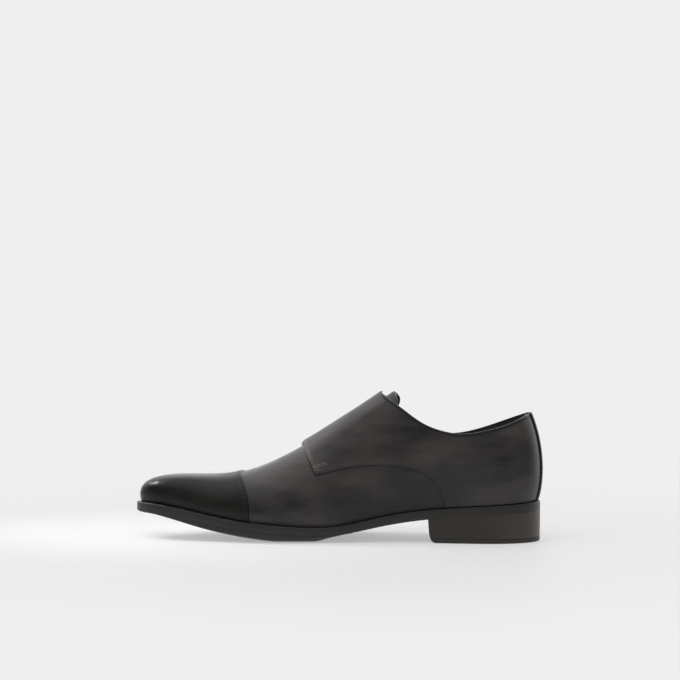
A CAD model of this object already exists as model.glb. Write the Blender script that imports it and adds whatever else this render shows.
# %% [markdown]
# # A double monk-strap shoe, dressed
#
# The construction model already holds every piece of this right shoe at its real size: upper, toe cap,
# quarters, straps, buckles and sole. This script dresses it. Each plain solid gives way to a finely
# divided mesh made from the same last, with folded edges, stitches, grain and polish.
#
# The frame comes first. It fixes where everything lies, and its box is kept, so that the dressed shoe
# can be held against it at the end.

import math

import bmesh
import bpy
import numpy as np
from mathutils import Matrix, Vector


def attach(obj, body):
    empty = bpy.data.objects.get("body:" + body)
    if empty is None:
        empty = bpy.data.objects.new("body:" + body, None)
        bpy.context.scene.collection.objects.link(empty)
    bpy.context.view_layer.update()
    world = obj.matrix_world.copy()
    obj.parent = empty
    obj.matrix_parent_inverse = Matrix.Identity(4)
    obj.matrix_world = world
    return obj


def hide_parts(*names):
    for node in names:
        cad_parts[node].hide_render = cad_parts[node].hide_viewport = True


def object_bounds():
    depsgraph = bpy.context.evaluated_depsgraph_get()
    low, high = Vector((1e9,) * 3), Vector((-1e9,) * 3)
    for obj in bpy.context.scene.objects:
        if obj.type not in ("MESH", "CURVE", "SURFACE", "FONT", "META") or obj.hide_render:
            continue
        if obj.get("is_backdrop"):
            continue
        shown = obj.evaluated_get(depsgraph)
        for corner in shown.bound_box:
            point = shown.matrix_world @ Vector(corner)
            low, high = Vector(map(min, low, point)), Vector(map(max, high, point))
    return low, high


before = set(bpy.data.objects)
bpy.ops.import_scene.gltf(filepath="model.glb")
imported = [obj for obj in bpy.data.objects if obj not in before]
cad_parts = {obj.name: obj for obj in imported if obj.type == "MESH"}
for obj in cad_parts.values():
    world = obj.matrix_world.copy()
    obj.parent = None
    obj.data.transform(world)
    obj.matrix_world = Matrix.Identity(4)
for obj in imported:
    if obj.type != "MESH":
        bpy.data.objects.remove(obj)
plain_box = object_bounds()
MM = 0.001
MEDIAL, LATERAL = -1, 1
print("pieces in the frame:", sorted(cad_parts))

# %% [markdown]
# ## The last
#
# A shoe is drawn on its last, the wooden form that stands for the foot. All leather pieces follow it, so
# one function gives its surface and every piece asks that function where it is. The sole's edge is a
# closed spline. From 13 places along it a curve climbs to the ridge over the instep, and splines between
# those rows give the rest. Sizes are in millimetres, and a station is measured back from the toe.

# %% Measures of the shoe
SOLE_LENGTH = 302.0
OVERALL_LENGTH = 305.0
GAP = 0.3              # air between two neighbours
WALL = 2.0             # the upper's leather and its lining together
CAP_LEATHER = 0.9
LEATHER = 1.4          # the quarters and the straps
STRIP_LEATHER = 0.7
TONGUE_THICK = 2.5
INSOLE_THICK = 2.6
TOE_TURN = 0.16        # share of the last over which its two ends turn round

SOLE_PLAN = [
    # station, medial, lateral
    (5.0, 11.5, 12.2),
    (16.0, 20.5, 22.0),
    (38.0, 29.5, 32.5),
    (70.0, 38.8, 43.5),
    (108.0, 45.0, 52.0),
    (150.0, 38.8, 53.2),
    (190.0, 31.5, 45.0),
    (225.0, 30.3, 38.0),
    (258.0, 32.3, 34.2),
    (284.0, 27.5, 28.5),
    (297.0, 16.0, 16.5),
]
SEAT = [
    # station, height, band
    (0.0, 26.5, 6.4),
    (18.0, 25.9, 6.2),
    (48.0, 21.2, 6.2),
    (82.0, 15.4, 6.0),
    (115.0, 12.4, 5.6),
    (142.0, 11.3, 5.5),
    (160.0, 12.9, 6.2),
    (185.0, 18.4, 6.8),
    (216.0, 23.6, 6.9),
    (250.0, 26.6, 6.8),
    (302.0, 29.6, 6.8),
]
LAST = [
    # inset, top, height, out_m, up_m, crown_m, out_l, up_l, crown_l
    (4.6, 38.0, 46.1, 5.2, 13.5, 25.4, 5.2, 13.5, 25.4),
    (4.7, 43.0, 46.1, 4.8, 13.5, 24.2, 4.8, 13.5, 24.2),
    (5.0, 57.0, 46.2, 4.0, 15.0, 21.0, 4.0, 15.0, 22.0),
    (5.0, 76.0, 48.3, 4.5, 17.0, 22.0, 4.5, 16.0, 24.0),
    (5.0, 99.0, 55.8, 5.0, 20.0, 24.0, 5.0, 18.0, 28.0),
    (5.0, 125.0, 69.0, 5.5, 26.0, 23.0, 5.5, 22.0, 28.0),
    (4.6, 151.0, 85.1, 6.0, 34.0, 22.0, 5.5, 28.0, 26.0),
    (4.0, 177.0, 102.1, 6.5, 40.0, 22.0, 5.5, 34.0, 25.0),
    (3.6, 203.0, 118.2, 7.0, 44.0, 26.0, 6.0, 40.0, 27.0),
    (3.4, 228.0, 125.0, 8.0, 44.0, 30.0, 7.0, 42.0, 30.0),
    (3.2, 248.0, 125.0, 9.0, 40.0, 32.0, 9.0, 40.0, 32.0),
    (4.0, 260.4, 121.0, 10.0, 33.0, 32.0, 10.0, 33.0, 32.0),
    (4.6, 263.4, 119.0, 10.5, 27.0, 32.0, 10.5, 27.0, 32.0),
]
COLLAR = [
    # station, medial height, lateral height
    (180.8, 110.2, 110.2),
    (188.5, 106.3, 103.8),
    (200.0, 99.4, 92.2),
    (216.0, 88.7, 80.6),
    (231.0, 82.9, 76.8),
    (246.0, 80.8, 78.3),
    (262.0, 82.9, 82.9),
    (280.0, 88.0, 89.6),
    (295.0, 94.9, 95.6),
    (304.0, 99.5, 99.5),
]
COLLAR_BLEND = 20.0    # this far out from the middle the top line is wholly one side's
print(f"the sole is {SOLE_LENGTH} mm long and the shoe {OVERALL_LENGTH} mm over all")


# %% Smooth curves through the measures
def spline(knots, values, flat_ends=False):
    """The cubic with continuous bend through the values; flat_ends levels it at both ends."""
    x = np.asarray(knots, float)
    y = np.asarray(values, float)
    step = np.diff(x)
    rise = (np.diff(y, axis=0).T / step).T
    system = np.eye(len(x))
    load = np.zeros(y.shape)
    for i in range(1, len(x) - 1):
        system[i, i - 1 : i + 2] = step[i - 1], 2 * (step[i - 1] + step[i]), step[i]
        load[i] = 6 * (rise[i] - rise[i - 1])
    if flat_ends:
        system[0, :2] = 2 * step[0], step[0]
        system[-1, -2:] = step[-1], 2 * step[-1]
        load[0] = 6 * rise[0]
        load[-1] = -6 * rise[-1]
    bend = np.linalg.solve(system, load)

    def at(q):
        q = np.asarray(q, float)
        k = np.clip(np.searchsorted(x, q) - 1, 0, len(step) - 1)
        h = step[k]
        a = (x[k + 1] - q) / h
        b = 1 - a
        if y.ndim > 1:
            a, b, h = a[..., None], b[..., None], h[..., None]
        cubic = (a**3 - a) * bend[k] + (b**3 - b) * bend[k + 1]
        return a * y[k] + b * y[k + 1] + cubic * h**2 / 6

    return at


def unit(vectors):
    return vectors / np.linalg.norm(vectors, axis=-1, keepdims=True)


def smooth(x):
    """Rises from 0 to 1 as x does, level at both ends."""
    x = np.clip(x, 0.0, 1.0)
    return x * x * (3 - 2 * x)


def running_length(points):
    """Distance along a line of points, from its first."""
    return np.concatenate([[0.0], np.cumsum(np.linalg.norm(np.diff(points, axis=0), axis=1))])


def column(table, i):
    return [row[i] for row in table]


SEAT_HEIGHT = spline(column(SEAT, 0), column(SEAT, 1))
BAND_DEPTH = spline(column(SEAT, 0), column(SEAT, 2))
COLLAR_LINES = {
    side: spline(column(COLLAR, 0), column(COLLAR, i)) for side, i in ((MEDIAL, 1), (LATERAL, 2))
}
LAST_COLUMNS = "inset top height out_m up_m crown_m out_l up_l crown_l".split()
LAST_CURVES = {
    name: spline(np.linspace(0, 1, len(LAST)), column(LAST, i), flat_ends=True)
    for i, name in enumerate(LAST_COLUMNS)
}
print("curves over the last:", ", ".join(LAST_COLUMNS))


# %% The sole's edge in plan
LAP = 4                # points repeated past the ends, so that the closed curve has no kink there
EDGE_SAMPLES, WIDTH_SAMPLES = 1201, 601


def make_plan():
    """The sole's edge as a closed curve, and for each side its share of length against the knot."""
    medial = [(s, -m) for s, m, _ in SOLE_PLAN]
    lateral = [(s, l) for s, _, l in reversed(SOLE_PLAN)]
    loop = [(0.0, 0.0)] + medial + [(SOLE_LENGTH, 0.0)] + lateral
    ring = np.array(loop[-LAP:] + loop + loop[: LAP + 1])
    knots = running_length(ring)
    curve = spline(knots, ring)
    tip, back, end = knots[LAP], knots[LAP + len(medial) + 1], knots[LAP + len(loop)]
    shares = {}
    for side, first in ((MEDIAL, tip), (LATERAL, end)):
        q = np.linspace(first, back, EDGE_SAMPLES)
        run = running_length(curve(q))
        shares[side] = (run / run[-1], q)
    return curve, shares


PLAN_CURVE, PLAN_SHARES = make_plan()


def edge(side, w, inset=0.0):
    """Point and outward direction, in plan, on the sole's edge moved in by inset."""
    share, q = PLAN_SHARES[side]
    at = np.interp(w, share, q)
    reach = 0.01
    along = unit(PLAN_CURVE(at + reach) - PLAN_CURVE(at - reach))
    outward = np.stack([along[..., 1], -along[..., 0]], -1)
    return PLAN_CURVE(at) - outward * np.asarray(inset)[..., None], outward


SOLE_SIDES = [edge(side, np.linspace(0, 1, WIDTH_SAMPLES))[0][:, 1] for side in (MEDIAL, LATERAL)]
MIDDLE_Y = (SOLE_SIDES[0].min() + SOLE_SIDES[1].max()) / 2
print(f"the sole is {np.ptp(np.concatenate(SOLE_SIDES)):.1f} mm wide")


def place(points):
    """From station, side and height in millimetres to metres in the frame."""
    points = np.asarray(points, float)
    return (points - (OVERALL_LENGTH / 2, MIDDLE_Y, 0.0)) * MM


# %% The surface of the last
NEAR_RIDGE = 0.999     # past this t a point counts as on the ridge, where both sides meet


def fold(side, w):
    """Past the toe tip or the back seam a meridian belongs to the other side."""
    over = (w < 0) | (w > 1)
    return np.where(over, -side, side), np.where(w < 0, -w, np.where(w > 1, 2 - w, w))


def one_side(side, w, t):
    """A cubic from the sole's edge up to the ridge, on one side of the last."""
    value = {name: curve(w) for name, curve in LAST_CURVES.items()}
    mark = "_m" if side == MEDIAL else "_l"
    out, up, crown = (value[name + mark] for name in ("out", "up", "crown"))
    foot, outward = edge(side, w, value["inset"])
    seat = SEAT_HEIGHT(foot[..., 0]) + GAP
    toward_end = 1 - smooth(np.minimum(w, 1 - w) / TOE_TURN)
    lean = unit(np.stack([outward[..., 0] * toward_end, outward[..., 1]], -1))
    top = np.stack([value["top"], 0 * w, value["height"]], -1)
    feather = np.concatenate([foot, seat[..., None]], -1)
    low = feather + np.concatenate([outward * out[..., None], up[..., None]], -1)
    high = top + np.concatenate([lean * crown[..., None], 0 * seat[..., None]], -1)
    t = t[..., None]
    s = 1 - t
    return s**3 * feather + 3 * s * s * t * low + 3 * s * t * t * high + t**3 * top


def form(side, w, t):
    """A point of the last: w from toe tip 0 to back seam 1, t from feather 0 to ridge 1."""
    side, w, t = np.broadcast_arrays(side, np.asarray(w, float), np.asarray(t, float))
    side, w = fold(side, w)
    return np.where((side == MEDIAL)[..., None], one_side(MEDIAL, w, t), one_side(LATERAL, w, t))


def bare_normal(side, w, t):
    reach = 1e-4
    low, high = np.maximum(t - reach, 0), np.minimum(t + reach, 1)
    up = form(side, w, high) - form(side, w, low)
    back = form(side, w + reach, t) - form(side, w - reach, t)
    return unit(np.cross(up, back) * np.asarray(side)[..., None])


def normal(side, w, t):
    """Outward direction of the last; on the ridge, the mean of its two sides."""
    side, w, t = np.broadcast_arrays(side, np.asarray(w, float), np.asarray(t, float))
    here = bare_normal(side, w, np.minimum(t, NEAR_RIDGE))
    there = bare_normal(-side, w, np.minimum(t, NEAR_RIDGE))
    return unit(here + np.where((t > NEAR_RIDGE)[..., None], there, 0))


ridge = place(form(MEDIAL, np.linspace(0, 1, 101), 1.0))
print("the last is highest at", np.round(ridge[ridge[:, 2].argmax()], 4))

# %% [markdown]
# ## Cutting leather
#
# A leather piece is a patch of the last, cut along the pattern's lines and then given thickness. Booleans
# would leave torn triangles along every cut. Here the patch is a grid of quads on which each corner knows
# how far it is from the pattern's edge. Faces are split exactly where that distance is zero, and again at
# a few small distances inside, so that rows of points run along the edge. With those rows the edge can be
# rounded over as a folded or skived edge is, and a row can sink to make the bed of a seam.

# %% A patch of the last
def grid_faces(index):
    """Quads between neighbouring rows of a grid of point numbers."""
    return np.stack([index[:-1, :-1], index[1:, :-1], index[1:, 1:], index[:-1, 1:]], -1).reshape(-1, 4)


def ring_faces(index):
    """Quads between rings of point numbers, each ring closed on itself."""
    nexts = np.roll(index, -1, axis=1)
    return np.stack([index[:-1], nexts[:-1], nexts[1:], index[1:]], -1).reshape(-1, 4)


def patch(sides, w_range, t_range, columns, rows):
    """Corners (side, w, t) and quads over a part of the last. Sides are joined later, on the ridge."""
    corners, quads_found = [], []
    for side in sides:
        w = np.linspace(*w_range, columns + 1)
        t = np.linspace(*t_range, rows + 1)
        grid = np.stack(np.meshgrid(w, t, indexing="ij"), -1).reshape(-1, 2)
        start = sum(len(block) for block in corners)
        corners.append(np.concatenate([np.full((len(grid), 1), float(side)), grid], 1))
        quads = grid_faces(start + np.arange(len(grid)).reshape(columns + 1, rows + 1))
        quads_found.append(quads if side == MEDIAL else quads[:, ::-1])
    return np.concatenate(corners), np.concatenate(quads_found)


def whole_patch(columns=300, rows=96):
    """Both sides of the last from toe to heel and from sole to ridge."""
    return patch((MEDIAL, LATERAL), (0.0, 1.0), (0.0, 1.0), columns, rows)


column_run = running_length(form(MEDIAL, np.linspace(0, 1, 301), 0.5))
print(f"the whole last is {len(whole_patch()[1])} quads, about {np.diff(column_run).mean():.1f} mm long")


# %% Cut it along a line
def split(corners, faces, distance, level):
    """Cuts every face that crosses the level, with new corners exactly on it."""
    corners, distance = list(corners), list(distance)
    values = np.array(distance)
    made = {}

    def crossing(a, b):
        key = (a, b) if a < b else (b, a)
        if key not in made:
            share = (level - distance[key[0]]) / (distance[key[1]] - distance[key[0]])
            made[key] = len(corners)
            corners.append(corners[key[0]] * (1 - share) + corners[key[1]] * share)
            distance.append(level)
        return made[key]

    result = []
    for face in faces:
        signs = [values[i] - level for i in face]
        if min(signs) >= 0 or max(signs) <= 0:
            result.append(face)
            continue
        inside, outside = [], []
        for k, a in enumerate(face):
            b = face[(k + 1) % len(face)]
            here, there = values[a] - level, values[b] - level
            if here >= 0:
                inside.append(a)
            if here <= 0:
                outside.append(a)
            if here * there < 0:
                new = crossing(a, b)
                inside.append(new)
                outside.append(new)
        result += [ring for ring in (inside, outside) if len(ring) > 2]
    return np.array(corners), result, np.array(distance)


def trim(corners, faces, edge_distance, levels):
    """Keeps what lies inside the pattern's edge, with rows of corners at the given levels."""
    side, w, t = corners.T
    distance = edge_distance(side, w, t)
    keep = distance[faces].max(axis=1) > 0
    faces = [tuple(face) for face in faces[keep]]
    for level in (0.0, *levels):
        corners, faces, distance = split(corners, faces, distance, level)
    faces = [face for face in faces if min(distance[i] for i in face) >= 0]
    used = sorted({i for face in faces for i in face})
    place_of = {old: new for new, old in enumerate(used)}
    faces = [tuple(place_of[i] for i in face) for face in faces]
    return corners[used], faces, distance[used]


def boundary(faces, corners):
    """Directed edges that only one face has, other than those on the middle line, where sides meet."""
    found = {}
    for face in faces:
        for a, b in zip(face, (*face[1:], face[0])):
            if (b, a) in found:
                del found[(b, a)]
            else:
                found[(a, b)] = True
    middle = (corners[:, 2] >= 1.0, corners[:, 1] <= 0.0, corners[:, 1] >= 1.0)
    return [(a, b) for a, b in found if not any(line[a] and line[b] for line in middle)]


sample = patch((LATERAL,), (0.4, 0.5), (0.2, 0.8), 4, 4)
cut_corners, cut_faces, _ = trim(*sample, lambda side, w, t: t - 0.4, ())
print("a cut sample has", len(cut_faces), "faces and", len(boundary(cut_faces, cut_corners)), "outer edges")


# %% Meshes from points
MERGE_WITHIN = 4e-6               # in metres: joins the two sides of a piece on the ridge
SHARP_ANGLE = math.radians(50.0)  # folds sharper than this are shaded as edges


def keep_value(mesh, name, values):
    """Stores one number for each corner, for the materials to read."""
    layer = mesh.attributes.new(name, "FLOAT", "POINT")
    layer.data.foreach_set("value", np.ascontiguousarray(values, np.float32))


def mesh_object(name, points, faces, material, edge_mm=None, merge=True):
    """A mesh with smooth faces and sharp folds; edge_mm is kept for the materials."""
    mesh = bpy.data.meshes.new(name)
    mesh.from_pydata(points.tolist(), [], faces)
    if edge_mm is not None:
        keep_value(mesh, "edge_mm", edge_mm)
    mesh.materials.append(material)
    work = bmesh.new()
    work.from_mesh(mesh)
    if merge:
        bmesh.ops.remove_doubles(work, verts=work.verts, dist=MERGE_WITHIN)
    bmesh.ops.recalc_face_normals(work, faces=work.faces)
    work.to_mesh(mesh)
    work.free()
    mesh.shade_smooth()
    mesh.set_sharp_from_angle(angle=SHARP_ANGLE)
    thing = bpy.data.objects.new(name, mesh)
    bpy.context.scene.collection.objects.link(thing)
    return thing


# %% Leather with thickness
FIRST_ROW, SECOND_ROW = 1.3, 2.9   # rows of stitches lie this far inside an edge
ROUND_ROWS = (0.12, 0.4, 0.75, 1.0)  # shares of an edge's radius at which its rows of corners run
BED_HALF = 0.45  # half the width of the bed that a seam sinks into the leather
BAND_FADE = 2.5  # how much faster the dye fades past a dyed band than past a bare edge
SHEETS = {}      # for each piece its trimmed patch, from which seams can be read


def edge_profile(distance, radius, start):
    """Share of the full thickness at a distance from the edge: a quarter round over the radius."""
    x = np.clip(1 - distance / radius, 0.0, 1.0)
    return start + (1 - start) * np.sqrt(1 - x * x)


def leather_piece(name, grid, edge_distance, base, thick, material,
                  radius=0.9, start=0.25, beds=(), sink=0.14, dyed=None):
    """A closed leather piece over the last. base is its inner offset, a number or a function.

    radius and start shape its edge. beds are seams: (distance from the edge, where) pairs, at which
    the face sinks wherever the test on station, side and height holds. dyed is one such pair, for a
    band of full dye along the edge."""
    levels = {radius * share for share in ROUND_ROWS}
    for bed, _ in beds:
        levels |= {bed - BED_HALF, bed, bed + BED_HALF}
    corners, faces, distance = trim(*grid, edge_distance, sorted(levels))
    side, w, t = corners.T
    point, out = form(side, w, t), normal(side, w, t)
    inner = base(side, w, t) if callable(base) else np.full(len(w), float(base))
    outer = inner + thick * edge_profile(distance, radius, start)
    for bed, where in beds:
        outer -= sink * smooth(1 - np.abs(distance - bed) / BED_HALF) * where(*point.T)
    shell = np.concatenate([point + out * outer[:, None], point + out * inner[:, None]])
    count = len(corners)
    closed = [tuple(face) for face in faces]
    closed += [tuple(i + count for i in face[::-1]) for face in faces]
    closed += [(b, a, a + count, b + count) for a, b in boundary(faces, corners)]
    edge_mm = distance
    if dyed:
        band, where = dyed
        edge_mm = np.where(where(*point.T), np.clip(distance - band, 0.0, None) * BAND_FADE, distance)
    SHEETS[name] = {"corners": corners, "faces": faces, "distance": distance, "offset": outer}
    thing = mesh_object(name, place(shell), closed, material, np.tile(edge_mm, 2))
    print(f"{name}: {len(thing.data.polygons)} faces, {thick:.2f} mm thick")
    return thing


print("the face of a piece has", len(ROUND_ROWS), "rows of corners round its edge")

# %% [markdown]
# ## Leather that looks handled
#
# Polished calf is nearly smooth. Three effects sell it: a very fine grain, slow patches where polish has
# gone on thicker or the brown under the black shows, and edges that are dyed darker. Each is used by more
# than one finish, so each is a node group with its own sliders. A group gives out only masks and heights.
# Every finish keeps its own Principled shader, where the constant values sit on the shader's sockets.

# %% Helpers for finishes
def new_group(name, inputs, outputs):
    """An empty shader node group with number sockets. It returns the group and its two end nodes."""
    group = bpy.data.node_groups.new(name, "ShaderNodeTree")
    for label, value in inputs.items():
        socket = group.interface.new_socket(name=label, in_out="INPUT", socket_type="NodeSocketFloat")
        socket.default_value = value
    for label in outputs:
        group.interface.new_socket(name=label, in_out="OUTPUT", socket_type="NodeSocketFloat")
    return group, group.nodes.new("NodeGroupInput"), group.nodes.new("NodeGroupOutput")


def add_node(tree, kind, links=(), **settings):
    """A node with its settings, and its inputs linked or set from (socket, source or value) pairs."""
    node = tree.nodes.new(kind)
    for key, value in settings.items():
        setattr(node, key, value)
    for socket, source in links:
        if isinstance(source, bpy.types.NodeSocket):
            tree.links.new(source, node.inputs[socket])
        else:
            node.inputs[socket].default_value = source
    return node


def maths(tree, operation, a, b=0.0, clamp=False):
    """The result of one Math node."""
    node = add_node(tree, "ShaderNodeMath", [(0, a), (1, b)], operation=operation, use_clamp=clamp)
    return node.outputs[0]


def ramp(tree, value, low, high, out_low=0.0, out_high=1.0):
    """Eases a value from low..high to out_low..out_high."""
    links = [("Value", value), ("From Min", low), ("From Max", high)]
    links += [("To Min", out_low), ("To Max", out_high)]
    return add_node(tree, "ShaderNodeMapRange", links, interpolation_type="SMOOTHSTEP").outputs[0]


def blend_colours(tree, share, first, second):
    node = tree.nodes.new("ShaderNodeMix")
    node.data_type = "RGBA"
    for socket, source in ((0, share), (6, first), (7, second)):
        if isinstance(source, bpy.types.NodeSocket):
            tree.links.new(source, node.inputs[socket])
        else:
            node.inputs[socket].default_value = source if socket == 0 else (*source, 1.0)
    return node.outputs[2]


def object_place(tree):
    """The point's place in the object's own space, in metres from the middle of the shoe."""
    return add_node(tree, "ShaderNodeTexCoord").outputs["Object"]


def split_place(tree):
    """That place as its X, Y and Z."""
    return add_node(tree, "ShaderNodeSeparateXYZ", [("Vector", object_place(tree))]).outputs


def noise(tree, scale, detail=3.0, roughness=0.5, stretch=(1.0, 1.0, 1.0), shift=(0.0, 0.0, 0.0)):
    """Noise in the object's own space; a scale of 100 makes patches of about a centimetre."""
    links = [("Vector", object_place(tree)), ("Scale", stretch), ("Location", shift)]
    moved = add_node(tree, "ShaderNodeMapping", links).outputs[0]
    links = [("Vector", moved), ("Scale", scale), ("Detail", detail), ("Roughness", roughness)]
    return add_node(tree, "ShaderNodeTexNoise", links).outputs["Fac"]


# %% Effects that finishes share
def make_grain():
    """Fine hair cells of calfskin: Height for the bump and Pores for the gloss."""
    group, given, result = new_group("calf grain", {"Scale": 1500.0}, ("Height", "Pores"))
    links = [("Vector", object_place(group)), ("Scale", given.outputs["Scale"])]
    cells = add_node(group, "ShaderNodeTexVoronoi", links, feature="SMOOTH_F1").outputs["Distance"]
    fine = noise(group, scale=5200.0, detail=2.0)
    height = maths(group, "ADD", maths(group, "MULTIPLY", cells, 0.7), maths(group, "MULTIPLY", fine, 0.3))
    group.links.new(height, result.inputs["Height"])
    group.links.new(ramp(group, cells, 0.45, 0.85), result.inputs["Pores"])
    return group


WAIST_AT, WAIST_CLEAR, WAIST_END = 0.046, 0.018, 0.062  # the burnish fades out along the shoe
BURNISH_FULL, BURNISH_TOP, BURNISH_WAVE = 0.030, 0.054, 0.012  # and upward, with an uneven upper edge


def make_polish():
    """Slow patches of polish: Patch is broad, Cloud is finer, and Burnish is the dark of a low waist."""
    group, given, result = new_group("polish patches", {"Contrast": 0.6}, ("Patch", "Cloud", "Burnish"))
    broad = noise(group, 26.0, 1.5, 0.45, stretch=(0.8, 1.0, 1.2), shift=(11.35, 14.76, 7.95))
    cloud = noise(group, 95.0, 3.0, 0.5, stretch=(0.5, 1.0, 1.6), shift=(1.7, 1.7, 1.7))
    spread = maths(group, "MULTIPLY", maths(group, "SUBTRACT", 1.0, given.outputs["Contrast"]), 0.3)
    low = maths(group, "SUBTRACT", 0.42, spread)
    high = maths(group, "ADD", 0.6, spread)
    group.links.new(ramp(group, broad, low, high), result.inputs["Patch"])
    group.links.new(ramp(group, cloud, 0.3, 0.7), result.inputs["Cloud"])
    part = split_place(group)
    off_waist = maths(group, "ABSOLUTE", maths(group, "SUBTRACT", part["X"], WAIST_AT))
    waist = ramp(group, off_waist, WAIST_CLEAR, WAIST_END, 1.0, 0.0)
    uneven = maths(group, "ADD", part["Z"], maths(group, "MULTIPLY", broad, BURNISH_WAVE))
    low_down = ramp(group, uneven, BURNISH_FULL, BURNISH_TOP, 1.0, 0.0)
    group.links.new(maths(group, "MULTIPLY", waist, low_down), result.inputs["Burnish"])
    return group


def make_edge_dye():
    """Dark dye near a cut or folded edge, read from the distance that each corner keeps."""
    group, given, result = new_group("edge dye", {"Width": 2.0}, ("Dye",))
    away = add_node(group, "ShaderNodeAttribute", attribute_name="edge_mm").outputs["Fac"]
    uneven = maths(group, "MULTIPLY", maths(group, "SUBTRACT", noise(group, scale=420.0), 0.5), 0.7)
    dye = ramp(group, maths(group, "ADD", away, uneven), 0.0, given.outputs["Width"], 1.0, 0.0)
    group.links.new(dye, result.inputs["Dye"])
    return group


GRAIN, POLISH, EDGE_DYE = make_grain(), make_polish(), make_edge_dye()
print("shared effects:", GRAIN.name, POLISH.name, EDGE_DYE.name)


# %% Helpers for one finish
def new_finish(name, **sockets):
    """A material whose Principled shader has these values, such as coat_weight, on its own sockets."""
    material = bpy.data.materials.new(name)
    material.use_nodes = True
    tree = material.node_tree
    shader = tree.nodes["Principled BSDF"]
    for label, value in sockets.items():
        shader.inputs[label.replace("_", " ").title().replace("Ior", "IOR")].default_value = value
    return material, tree, shader


def use_group(tree, group, **values):
    node = tree.nodes.new("ShaderNodeGroup")
    node.node_tree = group
    for label, value in values.items():
        node.inputs[label].default_value = value
    return node.outputs


def bump(tree, shader, height, distance, strength=1.0):
    links = [("Height", height), ("Distance", distance), ("Strength", strength)]
    made = add_node(tree, "ShaderNodeBump", links)
    tree.links.new(made.outputs[0], shader.inputs["Normal"])


# %% Leather
BLACK, WARM_BLACK = (0.0120, 0.0108, 0.0106), (0.0450, 0.0370, 0.0348)
DEEP_DYE = (0.0045, 0.0042, 0.0042)


def leather_finish(name, dark, warm, gloss, edge_width=1.6, shine=0.4, coat=0.06):
    """Polished leather: two tones in slow patches, dyed edges, fine grain, and gloss that varies."""
    material, tree, shader = new_finish(
        name, coat_weight=coat, coat_roughness=0.24, specular_ior_level=shine
    )
    polish = use_group(tree, POLISH, Contrast=0.85)
    dye = use_group(tree, EDGE_DYE, Width=edge_width)
    hide = use_group(tree, GRAIN)
    patches = maths(tree, "MULTIPLY", polish["Patch"], 0.65)
    patches = maths(tree, "ADD", patches, maths(tree, "MULTIPLY", polish["Cloud"], 0.35))
    warm_share = maths(tree, "SUBTRACT", patches, polish["Burnish"], clamp=True)
    toned = blend_colours(tree, warm_share, dark, warm)
    dark_share = maths(tree, "MAXIMUM", dye["Dye"], maths(tree, "MULTIPLY", polish["Burnish"], 0.6))
    dyed = blend_colours(tree, maths(tree, "MULTIPLY", dark_share, 0.8), toned, DEEP_DYE)
    tree.links.new(dyed, shader.inputs["Base Color"])
    rough = maths(tree, "MULTIPLY_ADD", maths(tree, "MAXIMUM", polish["Cloud"], polish["Burnish"]), 0.10)
    rough.node.inputs[2].default_value = gloss
    pores = maths(tree, "MULTIPLY", hide["Pores"], 0.06)
    tree.links.new(maths(tree, "ADD", rough, pores), shader.inputs["Roughness"])
    bump(tree, shader, hide["Height"], 0.00003, 0.35)
    return material


UPPER = leather_finish("polished calf", BLACK, WARM_BLACK, 0.36)
CAP = leather_finish(
    "toe cap calf", (0.0068, 0.0064, 0.0060), (0.0135, 0.0124, 0.0110), 0.30, 0.5, shine=0.2, coat=0.02
)
STRIP = leather_finish("back strip calf", (0.008, 0.008, 0.008), (0.014, 0.013, 0.013), 0.34)
TONGUE = leather_finish("tongue calf", (0.042, 0.039, 0.037), (0.082, 0.075, 0.071), 0.45, 2.4)
LINING = leather_finish("lining calf", (0.034, 0.0310, 0.0305), (0.056, 0.051, 0.050), 0.60)
SOCK = leather_finish("insole calf", (0.010, 0.0095, 0.0092), (0.018, 0.016, 0.015), 0.55)
print("leathers:", ", ".join(sorted(material.name for material in bpy.data.materials)))


# %% Thread, sole edge, rubber and metal
def plain_finish(name, dark, light, rough, scale, grain_depth, stretch=(1, 1, 1), **sockets):
    """A finish with fine streaks or specks between two tones."""
    material, tree, shader = new_finish(name, **sockets)
    streak = noise(tree, scale, detail=4.0, roughness=0.6, stretch=stretch)
    broad = noise(tree, 60.0, detail=2.0, shift=(0.8, 0.8, 0.8))
    share = maths(tree, "MULTIPLY", streak, maths(tree, "ADD", broad, 0.5), clamp=True)
    tree.links.new(blend_colours(tree, share, dark, light), shader.inputs["Base Color"])
    tree.links.new(ramp(tree, streak, 0.25, 0.75, rough - 0.07, rough + 0.09), shader.inputs["Roughness"])
    bump(tree, shader, streak, grain_depth, 0.5)
    return material


FINE_BUMP, METAL_BUMP = 0.00003, 0.000008  # in metres
PALE_THREAD = plain_finish(
    "worn thread", (0.110, 0.102, 0.095), (0.210, 0.195, 0.182), 0.45, 3000.0, FINE_BUMP
)
THREAD = plain_finish(
    "waxed thread", (0.004, 0.004, 0.004), (0.013, 0.012, 0.012), 0.6, 3000.0, FINE_BUMP
)
WELT = plain_finish(
    "waxed sole edge", (0.0095, 0.0081, 0.0066), (0.0165, 0.0137, 0.0112), 0.48, 260.0, FINE_BUMP,
    stretch=(0.35, 0.35, 5.0), coat_weight=0.06, coat_roughness=0.3,
)
RUBBER = plain_finish("tread rubber", (0.011, 0.0105, 0.010), (0.022, 0.021, 0.020), 0.62, 900.0, 0.00004)
LIFT_RUBBER = plain_finish(
    "heel rubber", (0.0150, 0.0122, 0.0095), (0.0270, 0.0220, 0.0175), 0.55, 900.0, 0.00004
)
METAL = plain_finish(
    "polished nickel", (0.50, 0.50, 0.51), (0.62, 0.62, 0.63), 0.22, 700.0, METAL_BUMP,
    stretch=(0.3, 3.0, 3.0), metallic=1.0,
)
plain = (PALE_THREAD, THREAD, WELT, RUBBER, LIFT_RUBBER, METAL)
print("plain finishes:", ", ".join(material.name for material in plain))


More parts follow.
